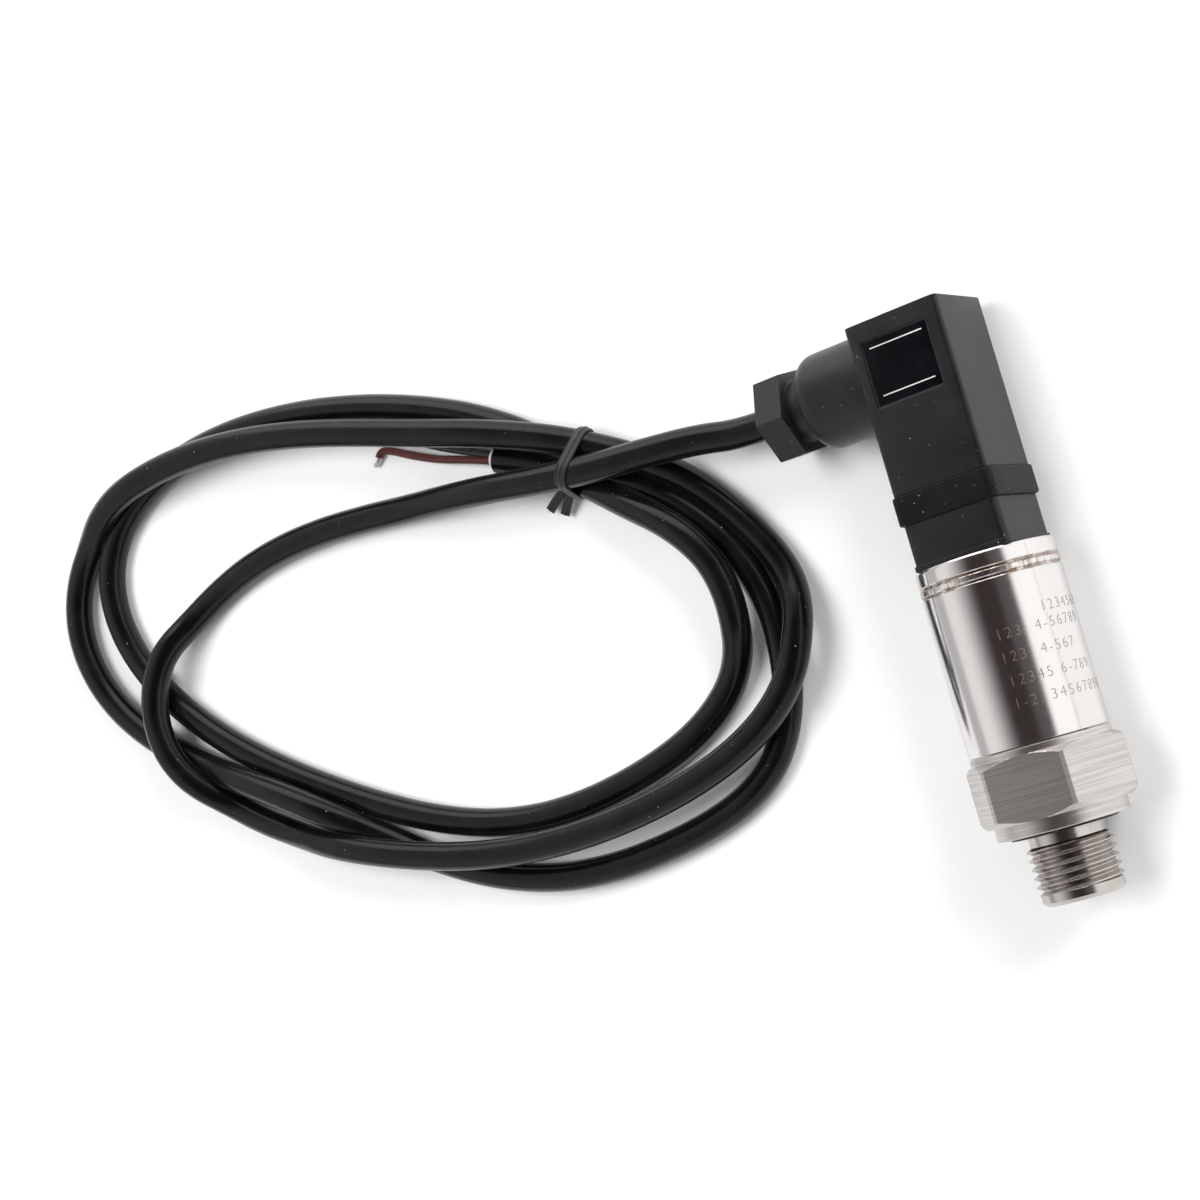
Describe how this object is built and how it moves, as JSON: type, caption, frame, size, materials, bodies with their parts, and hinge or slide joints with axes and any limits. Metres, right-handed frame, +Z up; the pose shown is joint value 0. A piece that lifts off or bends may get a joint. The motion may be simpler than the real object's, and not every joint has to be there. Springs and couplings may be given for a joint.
{
  "type": "pressure transmitter",
  "caption": "Steel pressure transmitter with hexagon and threaded port, square right-angle cable plug, and a tied coil of black cable with bare core ends.",
  "frame": {"origin": "on the surface it lies on, under the middle of the transmitter without its cable", "axes": "+Y along the transmitter from its threaded port to its plug, +X away from the cable gland, +Z up from the surface it lies on"},
  "size_m": [0.1937, 0.1198, 0.0221],
  "materials": {
    "steel_port": "turned and milled stainless steel",
    "steel_tube": "polished stainless steel tube",
    "cell_steel": "plain stainless steel",
    "seal_rubber": "matt black sealing rubber",
    "board": "green board laminate",
    "contact_metal": "plain brass",
    "wire_red": "red core insulation",
    "wire_black": "black core insulation",
    "base_plastic": "glass-filled black plastic",
    "plug_plastic": "satin black plastic",
    "cable_jacket": "semi-gloss black cable jacket",
    "tie_plastic": "ribbed black twist tie"
  },
  "bodies": {
    "transmitter": {"pressure_port": "steel_port", "port_seal": "seal_rubber", "sensor_cell": "cell_steel", "cell_ring": "cell_steel", "cell_seal": "seal_rubber", "housing_tube": "steel_tube", "cell_pins": "contact_metal", "circuit_board": "board", "board_parts": "board", "lead_wires": "wire_red", "connector_base": "base_plastic", "base_pin_1": "contact_metal", "plug_contact_1": "contact_metal", "base_pin_2": "contact_metal", "plug_contact_2": "contact_metal", "base_pin_3": "contact_metal", "plug_contact_3": "contact_metal", "base_pin_earth": "contact_metal", "plug_contact_earth": "contact_metal", "screw_insert": "contact_metal", "clamp_screws": "cell_steel", "profile_gasket": "seal_rubber", "plug_housing": "plug_plastic", "terminal_block": "plug_plastic", "gland_bush": "seal_rubber", "cable_end": "cable_jacket", "cable_tie": "tie_plastic", "cable_lead": "cable_jacket", "cable_tail": "cable_jacket", "cable_coil": "cable_jacket", "red_core": "wire_red", "black_core": "wire_black"},
    "gland_washer_body": {"gland_washer": "cell_steel"},
    "gland_nut_body": {"gland_nut": "plug_plastic"},
    "screw_washer_body": {"screw_washer": "cell_steel"},
    "fixing_screw_body": {"fixing_screw": "cell_steel"}
  },
  "joints": [
    {"name": "gland_travel", "type": "slide", "parent": "transmitter", "child": "gland_washer_body", "axis": [-0.9945, -0.0007, -0.1045], "range_m": [0, 0.002]},
    {"name": "gland_turn", "type": "hinge", "parent": "gland_washer_body", "child": "gland_nut_body", "pos_m": [-0.01943, 0.03783, 0.00774], "axis": [-0.9945, -0.0007, -0.1045], "range_deg": [0, 720.5]},
    {"name": "screw_travel", "type": "slide", "parent": "transmitter", "child": "screw_washer_body", "axis": [0, 1, -0.0066], "range_m": [0, 0.0025]},
    {"name": "screw_turn", "type": "hinge", "parent": "screw_washer_body", "child": "fixing_screw_body", "pos_m": [0.00772, 0.04575, 0.01054], "axis": [0, 1, -0.0066], "range_deg": [0, 1800.5]}
  ],
  "couplings": [
    {"joint": "gland_turn", "follows": "gland_travel", "rad_per_m": 6283.2},
    {"joint": "screw_turn", "follows": "screw_travel", "rad_per_m": 12566}
  ]
}
